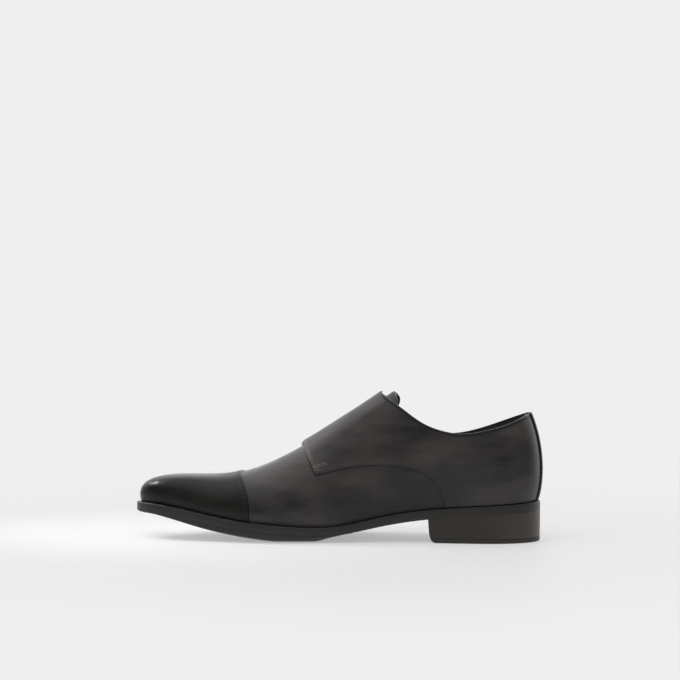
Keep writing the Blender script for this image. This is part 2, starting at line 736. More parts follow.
# %% Stacked heel
HEEL_DARK, HEEL_LIGHT, HEEL_STREAK = (
    (0.0190, 0.0148, 0.0104), (0.0390, 0.0295, 0.0230), (0.0120, 0.0096, 0.0072)
)
LIGHTENS_FROM, LIGHTENS_TO = 0.100, 0.148  # along the shoe, in metres


def heel_finish():
    """Lifts of leather stacked and stained, streaked along the lifts and lighter at the back."""
    material, tree, shader = new_finish("stained heel stack", coat_weight=0.06, coat_roughness=0.35)
    streak = noise(tree, 240.0, detail=4.0, roughness=0.6, stretch=(0.4, 0.4, 6.0))
    back = ramp(tree, split_place(tree)["X"], LIGHTENS_FROM, LIGHTENS_TO)
    base = blend_colours(tree, back, HEEL_DARK, HEEL_LIGHT)
    toned = blend_colours(tree, maths(tree, "MULTIPLY", streak, 0.22), base, HEEL_STREAK)
    tree.links.new(toned, shader.inputs["Base Color"])
    tree.links.new(ramp(tree, streak, 0.3, 0.7, 0.38, 0.52), shader.inputs["Roughness"])
    bump(tree, shader, streak, 0.00005, 0.5)
    return material


STACK = heel_finish()
print("all finishes and slots:", len(bpy.data.materials))

# %% [markdown]
# ## The pattern's lines
#
# Lines that are straight for the pattern cutter are straight here in one view. The quarter's edge and the
# top line are drawn from the side. The cap's seam, the throat and the tongue are drawn from above. A strap
# is measured on the leather itself, down from the ridge and across.

# %% Lines of the pattern
OVERLAY_FOOT = 0.008   # the t at which overlays end, just above the sole
SEAM_OPEN = 0.15       # half the gap of the seam at the back
THROAT_FRONT, THROAT_BACK, THROAT_HALF_WIDTH = 138.0, 200.0, 9.0
FACING_SIDE = 8.0      # the outside quarter's edge beside the throat
QUARTER_EDGE = [
    # station, height of the quarters' lower edge
    (138.0, 49.2),
    (148.8, 51.6),
    (160.0, 54.3),
    (172.0, 56.0),
    (185.0, 56.7),
    (198.0, 56.0),
    (208.6, 54.0),
    (216.8, 51.2),
    (222.4, 47.4),
    (227.2, 42.6),
    (230.2, 36.8),
    (232.6, 29.8),
    (234.4, 22.0),
]
QUARTER_FRONT_TOP = (124.9, 72.7)
BACK_OF_STRAPS = 216.0
CAP_SEAM_RIDGE, CAP_SEAM_SWEEP, CAP_SEAM_SIDE = 79.6, 9.6, 38.0
STRIP_HALF_WIDTH = 4.5
TONGUE_DROP = WALL + GAP
TONGUE_FRONT, TONGUE_TOP, TONGUE_RAKE = 112.0, (193.6, 110.6), 0.52
TONGUE_HALF_WIDTH, TONGUE_TAPER, TONGUE_CORNER = 23.0, 0.8, 9.0
OUTSIDE, FAR = -50.0, 60.0  # distances that stand for well outside and well inside an edge
PAST_SHOE = 6.0        # outlines go on this far beyond the shoe
print("the quarter's lower edge runs through", len(QUARTER_EDGE), "points")


# %% Distances from the lines
def outline_distance(x, y, outline):
    """Signed distance in a flat view to a closed outline, positive inside."""
    a = np.array(outline, float)
    b = np.roll(a, -1, axis=0)
    p = np.stack([x, y], -1)
    best = np.full(len(p), np.inf)
    inside = np.zeros(len(p), bool)
    for (ax, ay), (bx, by) in zip(a, b):
        run = np.array([bx - ax, by - ay])
        share = np.clip(((p - (ax, ay)) @ run) / (run @ run), 0.0, 1.0)
        best = np.minimum(best, np.linalg.norm(p - (ax, ay) - share[:, None] * run, axis=1))
        if ay != by:
            over = (p[:, 1] >= min(ay, by)) & (p[:, 1] < max(ay, by))
            inside ^= over & (p[:, 0] < ax + (p[:, 1] - ay) * (bx - ax) / (by - ay))
    return np.where(inside, best, -best)


def quarter_outline(side):
    """Side view of a quarter, its lower edge drawn smooth through the pattern's points."""
    edge_points = np.array(QUARTER_EDGE)
    run = running_length(edge_points)
    lower = spline(run, edge_points)(np.linspace(0, run[-1], 60))
    corner, peak = np.array(QUARTER_EDGE[0]), np.array(QUARTER_FRONT_TOP)
    station = np.linspace(COLLAR[0][0], OVERALL_LENGTH + PAST_SHOE, 60)[::-1]
    line = list(zip(station, COLLAR_LINES[side](station)))
    over = (line[-1][0] - PAST_SHOE, line[-1][1] + PAST_SHOE)
    return [tuple(2 * peak - corner), *map(tuple, lower), (lower[-1][0], 0.0), (line[0][0], 0.0), *line, over]


QUARTER_OUTLINES = {side: quarter_outline(side) for side in (MEDIAL, LATERAL)}


def collar_distance(x, y, z):
    """Distance below the top line, measured across it; large in front of the opening."""
    station = np.linspace(COLLAR[0][0] - 1.0, OVERALL_LENGTH + PAST_SHOE, 130)
    outer = np.clip((y / COLLAR_BLEND + 1) / 2, 0.0, 1.0)
    away = 0.0
    for side, share in ((MEDIAL, 1 - outer), (LATERAL, outer)):
        height = COLLAR_LINES[side](station)
        slope = np.interp(x, station, np.gradient(height, station))
        away = away + share * (np.interp(x, station, height) - z) / np.sqrt(1 + slope**2)
    return np.where(x < COLLAR[0][0] - 0.5, FAR, away)


def throat_distance(x, y):
    """Distance outside the slot along the top of the instep, which has a round front."""
    front = THROAT_FRONT + THROAT_HALF_WIDTH
    ahead = np.hypot(np.minimum(x - front, 0.0), y) - THROAT_HALF_WIDTH
    return np.where(x > THROAT_BACK, FAR, ahead)


print("each quarter's outline has", len(QUARTER_OUTLINES[MEDIAL]), "points")

# %% Measures of straps and buckles
STRAP_LIFT = 3 * GAP + LEATHER
STRAP_THICK = 1.4
STRAP_REACH = 49.0     # from the ridge to the strap's tip
STRAP_NOSE = 8.0       # length of its round end
ROOT = 4.0             # the quarter goes this far over the ridge, into its straps
STRAPS = [
    # name, station on the ridge, width at the ridge, width at the tip
    ("front", 135.6, 21.0, 14.5),
    ("rear", 171.0, 21.0, 14.5),
]
BUCKLE_AT = 28.0       # from the ridge to the buckle's middle
BUCKLE_LONG = 15.0     # between the middles of its front and heel bars
BUCKLE_WIDE = 24.0
BUCKLE_CORNER = 3.2
BAR = 2.2
PRONG = 1.8
TAB_THICK = 0.8
TAB_LIFT = 2 * GAP + LEATHER
TAB_WIDTH = 18.0
TAB_START = 32.5
TAB_END = 51.0
TAB_NOSE = 6.0
INSTEP_HOLLOW = 0.6    # how far a straight bar stands off the round instep
HEEL_BAR_LIFT = TAB_LIFT + TAB_THICK + GAP + INSTEP_HOLLOW + BAR / 2
FRONT_BAR_LIFT = STRAP_LIFT + STRAP_THICK + GAP + INSTEP_HOLLOW + BAR / 2
CROSSING = (14.0, 10.0)  # the straps rise between these distances before and past the ridge
HUMP_HALF_LENGTH = 11.0  # of the strap's rise over the heel bar
HUMP_SLOPE = 7.5
HUMP_SIDE = (9.0, 3.0)
HUMP_CLEARANCE = 0.6
TIP_LIFT = TAB_LIFT + TAB_THICK + 2 * GAP - STRAP_LIFT
TIP_RISE = 6.0
SLOT_HALF_WIDTH = 1.3    # of the hole for the prong
SLOT_ENDS = (-2.0, 6.4)  # of that hole, down the strap from the buckle's middle
SPARE_HOLES = (-8.0, 15.5)
HOLE_RADIUS = 1.1
print(f"the heel bar lies {HEEL_BAR_LIFT:.1f} mm off the last and the front bar {FRONT_BAR_LIFT:.1f} mm")


# %% Ways down the last
def share_at_station(station):
    """The w of the meridian whose top is at this station."""
    w = np.linspace(0, 1, 2001)
    return float(np.interp(station, LAST_CURVES["top"](w), w))


def share_at_reach(side, w, reach):
    """The t at this distance down a meridian from the ridge."""
    t = np.linspace(1, 0, 401)
    run = running_length(form(side, np.full(t.shape, w), t))
    return np.interp(reach, run, t)


def reach_of(side, w, t, steps=12):
    """Distance down each point's own meridian from the ridge."""
    share = np.linspace(0, 1, steps + 1)
    along = t[:, None] + (1 - t[:, None]) * share
    points = form(side[:, None], w[:, None], along)
    return np.linalg.norm(np.diff(points, axis=1), axis=2).sum(axis=1)


front_share = np.array([share_at_station(STRAPS[0][1])])
down_side = reach_of(np.array([LATERAL]), front_share, np.zeros(1))[0]
print(f"the front strap's line from the ridge to the sole is {down_side:.0f} mm long")


# %% Where the buckles lie
class Seat:
    """Where a buckle lies: its own axes across the strap, down the strap and off the shoe."""

    def __init__(self, station):
        self.w = share_at_station(station)
        self.middle = form(LATERAL, self.w, share_at_reach(LATERAL, self.w, BUCKLE_AT))
        self.off = normal(LATERAL, self.w, share_at_reach(LATERAL, self.w, BUCKLE_AT))
        below = form(LATERAL, self.w, share_at_reach(LATERAL, self.w, BUCKLE_AT + 1.0))
        self.across = unit(np.cross(self.off, below - self.middle))
        self.down = np.cross(self.across, self.off)

    def drop(self, down):
        """How far the last falls away under a place down the strap."""
        there = form(LATERAL, self.w, share_at_reach(LATERAL, self.w, BUCKLE_AT + down))
        return float(np.dot(self.middle - there, self.off))

    def local(self, points):
        """Points as distances across the strap, down it and off the shoe."""
        away = points - self.middle
        return away @ self.across, away @ self.down, away @ self.off

    def point(self, across, down, off):
        return self.middle + self.across * across + self.down * down + self.off * off


def bar_heights(seat):
    """Heights of the front and heel bars off the plane that touches the last at the buckle."""
    half = BUCKLE_LONG / 2
    return FRONT_BAR_LIFT - seat.drop(-half), HEEL_BAR_LIFT - seat.drop(half)


def strap_lift(side, w, t):
    """Inner offset of the inside quarter: it rises over the ridge and humps over each heel bar."""
    reach = reach_of(side, w, t)
    crossing = smooth((reach * side + CROSSING[0]) / sum(CROSSING))
    tip = TIP_LIFT * smooth((reach - TAB_START) / TIP_RISE + 1) * (side == LATERAL)
    lift = GAP + (STRAP_LIFT - GAP) * crossing + tip
    for _, station, *_ in STRAPS:
        seat = Seat(station)
        across, down, off = seat.local(form(side, w, t))
        over_bar = bar_heights(seat)[1] + BAR / 2 + HUMP_CLEARANCE - off
        near = smooth((BUCKLE_WIDE / 2 + HUMP_SIDE[0] - np.abs(across)) / HUMP_SIDE[1])
        near *= smooth((HUMP_HALF_LENGTH - np.abs(down - BUCKLE_LONG / 2)) / HUMP_SLOPE)
        lift += near * np.maximum(over_bar - lift, 0.0) * (side == LATERAL)
    return lift


for strap_name, strap_station, *_ in STRAPS:
    print(strap_name, "buckle is centred at", np.round(place(Seat(strap_station).middle), 4))


# %% Strips down the outside
def strap_place(w, t, station):
    """Distance across and down a strap, both measured on its own middle meridian."""
    middle = share_at_station(station)
    levels = np.linspace(1, 0, 201)
    run = running_length(form(LATERAL, np.full(levels.shape, middle), levels))
    step = 0.01
    ahead, behind = form(LATERAL, middle + step, levels), form(LATERAL, middle - step, levels)
    pace = np.linalg.norm(ahead - behind, axis=-1) / (2 * step)
    reach = np.interp(-t, -levels, run)
    return (w - middle) * np.interp(-t, -levels, pace), reach


def strip_distance(side, w, t, station, start, end, start_width, end_width, nose, rooted=False):
    """Distance inside the edge of a strip that runs down the outside and ends round.

    A rooted strip goes on past its start, into the piece that it is cut in one with."""
    across, reach = strap_place(w, t, station)
    half = (start_width + (end_width - start_width) * (reach - start) / (end - start)) / 2
    into_nose = np.clip((reach - end + nose) / nose, 0.0, None)
    straight = half - np.abs(across)
    if not rooted:
        straight = np.minimum(straight, reach - start)
    round_end = (1 - np.hypot(across / half, into_nose)) * nose
    inside = np.where(into_nose > 0, np.minimum(straight, round_end), straight)
    return np.where(side == LATERAL, inside, OUTSIDE)


half_way = strap_place(front_share, np.array([0.5]), STRAPS[0][1])[1][0]
print(f"the front strap's line is {half_way:.0f} mm from the ridge half way up the last's curve")

# %% [markdown]
# ## Upper
#
# The vamp is one shell of leather over the whole last, open at the top line and along the throat. Its
# lining lies inside it. The toe cap, the two quarters, the back strip and the tongue are laid over or
# under it, each at its own height, so that every edge stands proud as it does on the bench. The inside
# quarter carries both straps, cut in one piece with it.

# %% Which seam runs where
COLLAR_ROW = 2.4     # the row round the opening lies further in, on a folded band
COLLAR_ZONE = 1.5    # and what lies this much further in still belongs to it
COLLAR_FROM = 186.0
FRONT_REACH = 6.0
CORNER_REACH = 2.5
SECOND_ROW_ENDS = 14.0  # the second row stops short of the buckle
HOLE_ZONE = 5.2


def everywhere(x, y, z):
    return np.ones(len(x))


def round_the_opening(x, y, z):
    """The top line, seen from the side: near the collar and behind the instep."""
    return (collar_distance(x, y, z) < COLLAR_ROW + COLLAR_ZONE) & (x > COLLAR_FROM)


def off_the_opening(x, y, z):
    return ~round_the_opening(x, y, z)


def along_the_front(x, y, z):
    """The quarter's front edge, from the corner over the ridge and down the front strap."""
    (low_x, low_z), (high_x, high_z) = QUARTER_EDGE[0], QUARTER_FRONT_TOP
    behind = x - low_x - (z - low_z) * (high_x - low_x) / (high_z - low_z)
    return (behind < FRONT_REACH) & (z > low_z + CORNER_REACH) & (y < SECOND_ROW_ENDS)


def off_the_front(x, y, z):
    return (y > 0) & (x > THROAT_FRONT) | ~along_the_front(x, y, z)


def off_the_holes(x, y, z):
    """Away from the punched holes in both straps, which have no thread round them."""
    away = np.ones(len(x), bool)
    for _, station, *_ in STRAPS:
        across, down, _ = Seat(station).local(np.stack([x, y, z], -1))
        away &= (y < 0) | (np.abs(across) > HOLE_ZONE) | (down > SPARE_HOLES[-1] + HOLE_RADIUS + FIRST_ROW)
    return away


print("rows of stitches run", FIRST_ROW, SECOND_ROW, "and, at the collar,", COLLAR_ROW, "mm inside the edges")

# %% Vamp and lining
VAMP_THICK = 1.25
VAMP_SHORT, LINING_SHORT = 0.8, 0.15  # how far inside the pattern's line each one stops
LINING_PLAY = 0.02                    # what is left between the vamp and the lining
DYED_BAND = (1.9, round_the_opening)  # the folded band round the opening is dyed black


def wear(thing, slot, *nodes):
    """The piece rides on the shoe, takes its slot's finish and stands for these nodes."""
    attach(thing, "root")
    if nodes:
        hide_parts(*nodes)
    return thing


def shell_distance(short):
    """Distance from the top line and the throat, for a piece that stops short of both."""

    def distance(side, w, t):
        x, y, z = form(side, w, t).T
        return np.minimum(collar_distance(x, y, z), throat_distance(x, y)) - short

    return distance


vamp = leather_piece(
    "vamp", whole_patch(), shell_distance(VAMP_SHORT), -VAMP_THICK, VAMP_THICK, UPPER, radius=0.5
)
wear(vamp, "upper_leather", "upper")
lining = leather_piece(
    "lining", whole_patch(220, 70), shell_distance(LINING_SHORT), -WALL, WALL - VAMP_THICK - LINING_PLAY,
    LINING, radius=0.4, beds=((COLLAR_ROW, round_the_opening),), sink=0.0,
)
wear(lining, "lining_leather")


# %% Toe cap
CAP_SHARE = 0.42  # the cap's patch reaches this far along the last
BED_IN = 0.35     # the cap is let this deep into the leather beneath


def cap_distance(side, w, t):
    x, y, _ = form(side, w, t).T
    return CAP_SEAM_RIDGE + CAP_SEAM_SWEEP * (y / CAP_SEAM_SIDE) ** 2 - x


cap_grid = patch((MEDIAL, LATERAL), (0.0, CAP_SHARE), (OVERLAY_FOOT, 1.0), 150, 96)
toe_cap = leather_piece(
    "toe_cap_leather", cap_grid, cap_distance, GAP - BED_IN, CAP_LEATHER + BED_IN, CAP,
    radius=0.55, start=0.45, beds=((FIRST_ROW, everywhere), (SECOND_ROW, everywhere)), sink=0.08,
)
wear(toe_cap, "upper_leather", "toe_cap")


# %% Edges of the quarters
def quarter_distance(side, w, t, quarter):
    """Distance inside one quarter's outline, seen from the side."""
    x, _, z = form(side, w, t).T
    return outline_distance(x, z, QUARTER_OUTLINES[quarter])


def medial_distance(side, w, t):
    """Inside quarter with both straps: its union, less the holes for the prongs."""
    x, y, _ = form(side, w, t).T
    body = np.minimum(quarter_distance(side, w, t, MEDIAL), ROOT - y)
    body = np.where(x > BACK_OF_STRAPS, np.minimum(body, -SEAM_OPEN - y), body)
    for _, station, root_width, tip_width in STRAPS:
        ends = (1.0, STRAP_REACH, root_width, tip_width, STRAP_NOSE)
        body = np.maximum(body, strip_distance(side, w, t, station, *ends, rooted=True))
    for _, station, *_ in STRAPS:
        body = np.minimum(body, hole_distance(side, w, t, station))
    return body


def hole_distance(side, w, t, station):
    """Distance outside the prong's slot and the round spare holes of one strap."""
    across, reach = strap_place(w, t, station)
    down = reach - BUCKLE_AT
    middle, half = sum(SLOT_ENDS) / 2, (SLOT_ENDS[1] - SLOT_ENDS[0]) / 2 - SLOT_HALF_WIDTH
    clear = np.hypot(across, np.maximum(np.abs(down - middle) - half, 0.0)) - SLOT_HALF_WIDTH
    for hole in SPARE_HOLES:
        clear = np.minimum(clear, np.hypot(across, down - hole) - HOLE_RADIUS)
    return np.where(side == LATERAL, clear, -OUTSIDE)


def lateral_distance(side, w, t):
    x, y, _ = form(side, w, t).T
    facing = np.where(x < BACK_OF_STRAPS, y - FACING_SIDE, y - SEAM_OPEN)
    return np.minimum(quarter_distance(side, w, t, LATERAL), facing)


print("each strap has a slot for its prong and", len(SPARE_HOLES), "spare holes")

# %% Quarters
QUARTER_FROM = 0.36
QUARTER_GRID = (QUARTER_FROM, 1.0), (OVERLAY_FOOT, 1.0), 250, 110
QUARTER_BEDS = (
    (FIRST_ROW, lambda x, y, z: off_the_opening(x, y, z) & off_the_holes(x, y, z)),
    (SECOND_ROW, along_the_front),
    (COLLAR_ROW, round_the_opening),
)
inside_quarter = leather_piece(
    "inside_quarter_and_straps", patch((MEDIAL, LATERAL), *QUARTER_GRID), medial_distance,
    strap_lift, STRAP_THICK, UPPER, beds=QUARTER_BEDS, dyed=DYED_BAND,
)
wear(inside_quarter, "upper_leather", "medial_quarter")
outside_quarter = leather_piece(
    "outside_quarter", patch((LATERAL,), *QUARTER_GRID), lateral_distance,
    GAP, LEATHER, UPPER, beds=QUARTER_BEDS, dyed=DYED_BAND,
)
wear(outside_quarter, "upper_leather", "lateral_quarter")


# %% Back strip and tongue
STRIP_FRONT = 284.0   # the strip lies behind this station
OVER_QUARTERS = 0.02  # a hair's breadth between the strip and the quarters


def back_strip_distance(side, w, t):
    x, y, z = form(side, w, t).T
    side_edge = STRIP_HALF_WIDTH - np.abs(y)
    return np.where(x > STRIP_FRONT, np.minimum(side_edge, collar_distance(x, y, z)), OUTSIDE)


strip_grid = patch((MEDIAL, LATERAL), (0.95, 1.0), (OVERLAY_FOOT, 0.9), 24, 110)
back_strip = leather_piece(
    "back_strip_leather", strip_grid, back_strip_distance,
    GAP + LEATHER + OVER_QUARTERS, STRIP_LEATHER + 2 * GAP, STRIP,
    radius=1.0, start=0.1, beds=((FIRST_ROW, everywhere),), sink=0.08,
)
wear(back_strip, "upper_leather", "back_strip")


def tongue_distance(side, w, t):
    """The tongue widens upward, and its raked top edge has round corners."""
    x, y, z = form(side, w, t).T
    tip = (TONGUE_TOP[0] + TONGUE_RAKE * (TONGUE_TOP[1] - z) - x) / math.hypot(1, TONGUE_RAKE)
    share = (x - TONGUE_FRONT) / (COLLAR[4][0] - TONGUE_FRONT)
    aside = TONGUE_HALF_WIDTH * (TONGUE_TAPER + (1 - TONGUE_TAPER) * share) - np.abs(y)
    corner = np.hypot(np.maximum(TONGUE_CORNER - tip, 0.0), np.maximum(TONGUE_CORNER - aside, 0.0))
    rounded = np.minimum(TONGUE_CORNER - corner, np.minimum(tip, aside))
    return np.minimum(rounded, x - TONGUE_FRONT)


tongue_grid = patch((MEDIAL, LATERAL), (0.36, 0.8), (0.5, 1.0), 150, 60)
tongue = leather_piece(
    "tongue_leather", tongue_grid, tongue_distance, -TONGUE_DROP - TONGUE_THICK, TONGUE_THICK, TONGUE,
    radius=1.3, start=0.15, beds=((COLLAR_ROW, everywhere),), sink=0.2,
)
wear(tongue, "lining_leather", "tongue")


# %% Buckle tabs
TAB_BED = 0.15         # the tabs are let this deep into the quarter
TAB_PATCH_HALF = 0.07  # half the share of the last that a tab's patch takes up
for name, station, *_ in STRAPS:

    def tab_distance(side, w, t, station=station):
        ends = (TAB_START, TAB_END, TAB_WIDTH, TAB_WIDTH, TAB_NOSE)
        return strip_distance(side, w, t, station, *ends)

    middle = share_at_station(station)
    tab_grid = patch((LATERAL,), (middle - TAB_PATCH_HALF, middle + TAB_PATCH_HALF), (0.35, 1.0), 40, 70)
    tab = leather_piece(
        name + "_tab_leather", tab_grid, tab_distance, TAB_LIFT - TAB_BED, TAB_THICK + TAB_BED, UPPER,
        radius=0.5, beds=((FIRST_ROW, everywhere),), sink=0.08,
    )
    wear(tab, "upper_leather", name + "_buckle_tab")

# %% [markdown]
# ## Sole and heel
#
# The sole is built as it is worn: a band of leather round the edge, a rubber tread under the forefoot, and
# a heel of stacked lifts on a rubber top lift. Each is a set of rings, all taken from the same edge line
# and moved in or down, and closed across the shoe. More rings near a corner make it round.

# %% Measures of the sole
HEEL_FRONT = 222.0
HEEL_TAPER = 0.2
LIFT_DEPTH = 3.7            # of the rubber under the heel
TREAD_FRONT, TREAD_END, TREAD_INSET = 1.5, 166.0, 0.7
TREAD_LEAST = 0.12          # the tread is nowhere thinner
TREAD_WALL = 0.7            # share of the tread's edge that is upright
FEATHER = (138.0, 156.0)    # between these stations the tread's end closes on the waist
TREAD_SPINE = (26.0, 154.0) # the line that its rings shrink towards
TREAD = [
    # station, edge depth, middle height
    (0.0, 0.4, 20.3),
    (11.0, 0.8, 18.7),
    (26.0, 1.8, 15.6),
    (48.0, 3.4, 9.9),
    (71.0, 3.7, 4.9),
    (93.0, 3.6, 1.5),
    (110.0, 3.4, -0.1),
    (130.0, 2.6, -0.3),
    (137.0, 2.1, -0.1),
    (146.0, 1.4, 2.1),
    (158.0, 0.5, 5.2),
    (170.0, 0.2, 8.3),
]
TREAD_RINGS = [
    # size, share
    (0.99, 0.0),
    (0.96, 0.2),
    (0.92, 0.42),
    (0.84, 0.76),
    (0.74, 0.94),
    (0.62, 1.0),
]
TREAD_DEPTH = spline(column(TREAD, 0), column(TREAD, 1))
TREAD_MIDDLE = spline(column(TREAD, 0), column(TREAD, 2))
print(f"the tread is {max(column(TREAD, 1))} mm deep at the most and the heel's rubber {LIFT_DEPTH}")

# %% Rings round the sole
EDGE_COLUMNS = 240
RUNGS = 12


def edge_share(side, station):
    """The w at which the sole's edge passes a station."""
    w = np.linspace(0, 1, 2001)
    return float(np.interp(station, edge(side, w)[0][:, 0], w))


def edge_ring(inset, first=0.0, last=SOLE_LENGTH):
    """Plan of the sole's edge between two stations: up the medial side and down the lateral."""
    sides = []
    for side in (MEDIAL, LATERAL):
        start, end = edge_share(side, first), edge_share(side, last)
        even = np.linspace(0, 1, EDGE_COLUMNS + 1)
        crowd = (1 - np.cos(np.pi * even)) / 2
        w = start + (end - start) * (even + crowd) / 2
        sides.append(edge(side, w, inset(w) if callable(inset) else inset)[0])
    return np.concatenate([sides[0], sides[1][::-1]])


def at_height(plan, height):
    return np.concatenate([plan, np.broadcast_to(height, len(plan))[:, None]], 1)


def band(plan, share):
    """Height of the sole's band at a share of its depth, from its top 0 to its underside 1."""
    return SEAT_HEIGHT(plan[:, 0]) - BAND_DEPTH(plan[:, 0]) * share


print("a ring round the whole sole has", len(edge_ring(0.0)), "points")


# %% Solids from rings
def slab(name, rings, material):
    """A solid through rings from top to bottom, each end closed by rungs across the shoe."""
    rings = np.array(rings)
    count, around = rings.shape[:2]
    index = np.arange(count * around).reshape(count, around)
    walls = ring_faces(index).tolist()
    points = [rings.reshape(-1, 3)]
    total = count * around
    half = around // 2
    for ring, first in ((rings[0], index[0]), (rings[-1], index[-1])):
        left, right = ring[:half], ring[::-1][:half]
        share = np.linspace(0, 1, RUNGS + 1)[1:-1]
        inner = left[:, None] + (right - left)[:, None] * share[None, :, None]
        rows = np.empty((half, RUNGS + 1), int)
        rows[:, 0], rows[:, -1] = first[:half], first[::-1][:half]
        rows[:, 1:-1] = total + np.arange(half * (RUNGS - 1)).reshape(half, RUNGS - 1)
        total += half * (RUNGS - 1)
        points.append(inner.reshape(-1, 3))
        walls += grid_faces(rows).tolist()
    thing = mesh_object(name, place(np.concatenate(points)), walls, material)
    print(f"{name}: {len(thing.data.polygons)} faces")
    return thing


# %% The sole's band
SOLE_BAND = [
    # inset, share of the depth, further up
    (1.0, 0.0, 0.0),
    (0.62, 0.0, -0.06),
    (0.30, 0.0, -0.25),
    (0.06, 0.0, -0.6),
    (0.0, 0.0, -1.1),
    (0.0, 0.5, 0.0),
    (0.0, 1.0, 0.4),
    (0.05, 1.0, 0.2),
    (0.15, 1.0, 0.05),
    (0.3, 1.0, 0.0),
]
FLUSH = (205.0, 222.0)  # between these stations its rounded underside turns sharp, to meet the heel


rings = []
for inset, share, up in SOLE_BAND:
    plan = edge_ring(inset)
    if share == 1.0:
        sharp = smooth((plan[:, 0] - FLUSH[0]) / (FLUSH[1] - FLUSH[0]))
        plan += (edge_ring(0.0) - plan) * sharp[:, None]
        up = up * (1 - sharp)
    rings.append(at_height(plan, band(plan, share) + up))
wear(slab("sole_band", rings, WELT), "sole_edge", "midsole")

# %% Forefoot tread
outer = edge_ring(TREAD_INSET, TREAD_FRONT, TREAD_END)
top = band(outer, 1.0)
depth = np.maximum(TREAD_DEPTH(outer[:, 0]), TREAD_LEAST)
rings = [at_height(outer, top - depth * share) for share in (0.0, TREAD_WALL / 2, TREAD_WALL)]


def shrink(plan, size, first, last):
    """Moves an outline in towards the middle line between two stations."""
    half = len(plan) // 2
    middle = (plan[:half] + plan[::-1][:half]) / 2
    middle[:, 0] = np.clip(middle[:, 0], first, last)
    middle = np.concatenate([middle, middle[::-1]])
    return middle + (plan - middle) * size


for size, share in TREAD_RINGS:
    plan = shrink(outer, size, *TREAD_SPINE)
    under = band(plan, 1.0) - GAP * (1 - smooth((plan[:, 0] - FEATHER[0]) / (FEATHER[1] - FEATHER[0])))
    edge_low = under - np.maximum(TREAD_DEPTH(plan[:, 0]), TREAD_LEAST)
    middle = np.clip(TREAD_MIDDLE(plan[:, 0]), 0.0, under - TREAD_LEAST)
    rings.append(at_height(plan, edge_low + (middle - edge_low) * share))
wear(slab("forefoot_tread", rings, RUBBER), "tread_rubber", "outsole")

# %% Heel stack and top lift
STACK_LINES = 4
BREAST_LEAN = 0.9   # the breast comes this much further forward at its top
BREAST_TURN = 0.7   # and turns back into the top lift's round corner
LIFT_LINE = 0.015   # how far the faint line between two lifts goes in
LIFT_PROFILE = [
    # inset, share of the lift's depth
    (LIFT_LINE, 0.0),
    (0.0, 0.05),
    (0.0, 0.95),
    (LIFT_LINE, 1.0),
]
rings = []
for lift in range(STACK_LINES):
    for inset, share in LIFT_PROFILE:
        down = (lift + share) / STACK_LINES
        breast = HEEL_FRONT + BREAST_LEAN * (down - 1) + BREAST_TURN * down**8
        plan = edge_ring(inset + HEEL_TAPER * down, breast)
        top = band(plan, 1.0)
        rings.append(at_height(plan, top + (LIFT_DEPTH - top) * down))
wear(slab("heel_stack_leather", rings, STACK), "heel_stack", "heel_block")

HEEL_LIFT = [
    # inset, back from the breast, height
    (0.45, 0.95, 3.7),
    (0.25, 0.75, 3.5),
    (0.2, 0.85, 3.2),
    (0.2, 1.4, 2.2),
    (0.25, 2.1, 1.3),
    (0.35, 2.9, 0.7),
    (0.55, 3.9, 0.2),
    (0.9, 5.0, 0.0),
]
rings = [at_height(edge_ring(inset, HEEL_FRONT + back), z) for inset, back, z in HEEL_LIFT]
wear(slab("heel_top_lift_rubber", rings, LIFT_RUBBER), "tread_rubber", "heel_top_lift")


# %% Insole
INSOLE_PLAY = 0.1   # between the insole and the lining


def insole_inset(w):
    return LAST_CURVES["inset"](w) + WALL + INSOLE_PLAY


plan = edge_ring(insole_inset)
low = band(plan, 0.0) + GAP
rings = [at_height(plan, low + INSOLE_THICK), at_height(plan, low)]
wear(slab("insole_leather", rings, SOCK), "lining_leather", "insole")

# %% [markdown]
# ## Buckles
#
# Each buckle is a bent wire frame with a prong hinged on its heel bar. Bending a round bar along a path is
# the honest way to model it: a ring of points is carried along the path and turned to face along it.

# %% Bars
BAR_SIDES = 20


def bar_mesh(name, path, up, radius, material, closed=False):
    """A round bar along a path; up is never along it."""
    path = np.array(path)
    before, after = np.roll(path, 1, 0), np.roll(path, -1, 0)
    if not closed:
        before[0], after[-1] = path[0], path[-1]
    along = unit(after - before)
    beside = unit(np.cross(along, up))
    over = np.cross(beside, along)
    turn = np.linspace(0, 2 * np.pi, BAR_SIDES, endpoint=False)[None, :, None]
    rings = path[:, None] + radius * (np.cos(turn) * beside[:, None] + np.sin(turn) * over[:, None])
    index = np.arange(len(path) * BAR_SIDES).reshape(-1, BAR_SIDES)
    if closed:
        faces = ring_faces(np.concatenate([index, index[:1]])).tolist()
    else:
        faces = [*ring_faces(index).tolist(), index[0].tolist(), index[-1].tolist()]
    return mesh_object(name, place(rings.reshape(-1, 3)), faces, material)


def rounded_rectangle(long, wide, radius, steps=14):
    """Corners of a loop, long in its second direction and wide in its first."""
    loop = []
    for corner in range(4):
        middle = corner * np.pi / 2 + np.pi / 4
        quadrant = np.sign([math.cos(middle), math.sin(middle)])
        centre = quadrant * (wide / 2 - radius, long / 2 - radius)
        for turn in np.linspace(corner * np.pi / 2, (corner + 1) * np.pi / 2, steps):
            loop.append(centre + radius * np.array([math.cos(turn), math.sin(turn)]))
    return loop


outline = rounded_rectangle(BUCKLE_LONG, BUCKLE_WIDE, BUCKLE_CORNER)
print("a buckle's frame is bent through", len(outline), "points")

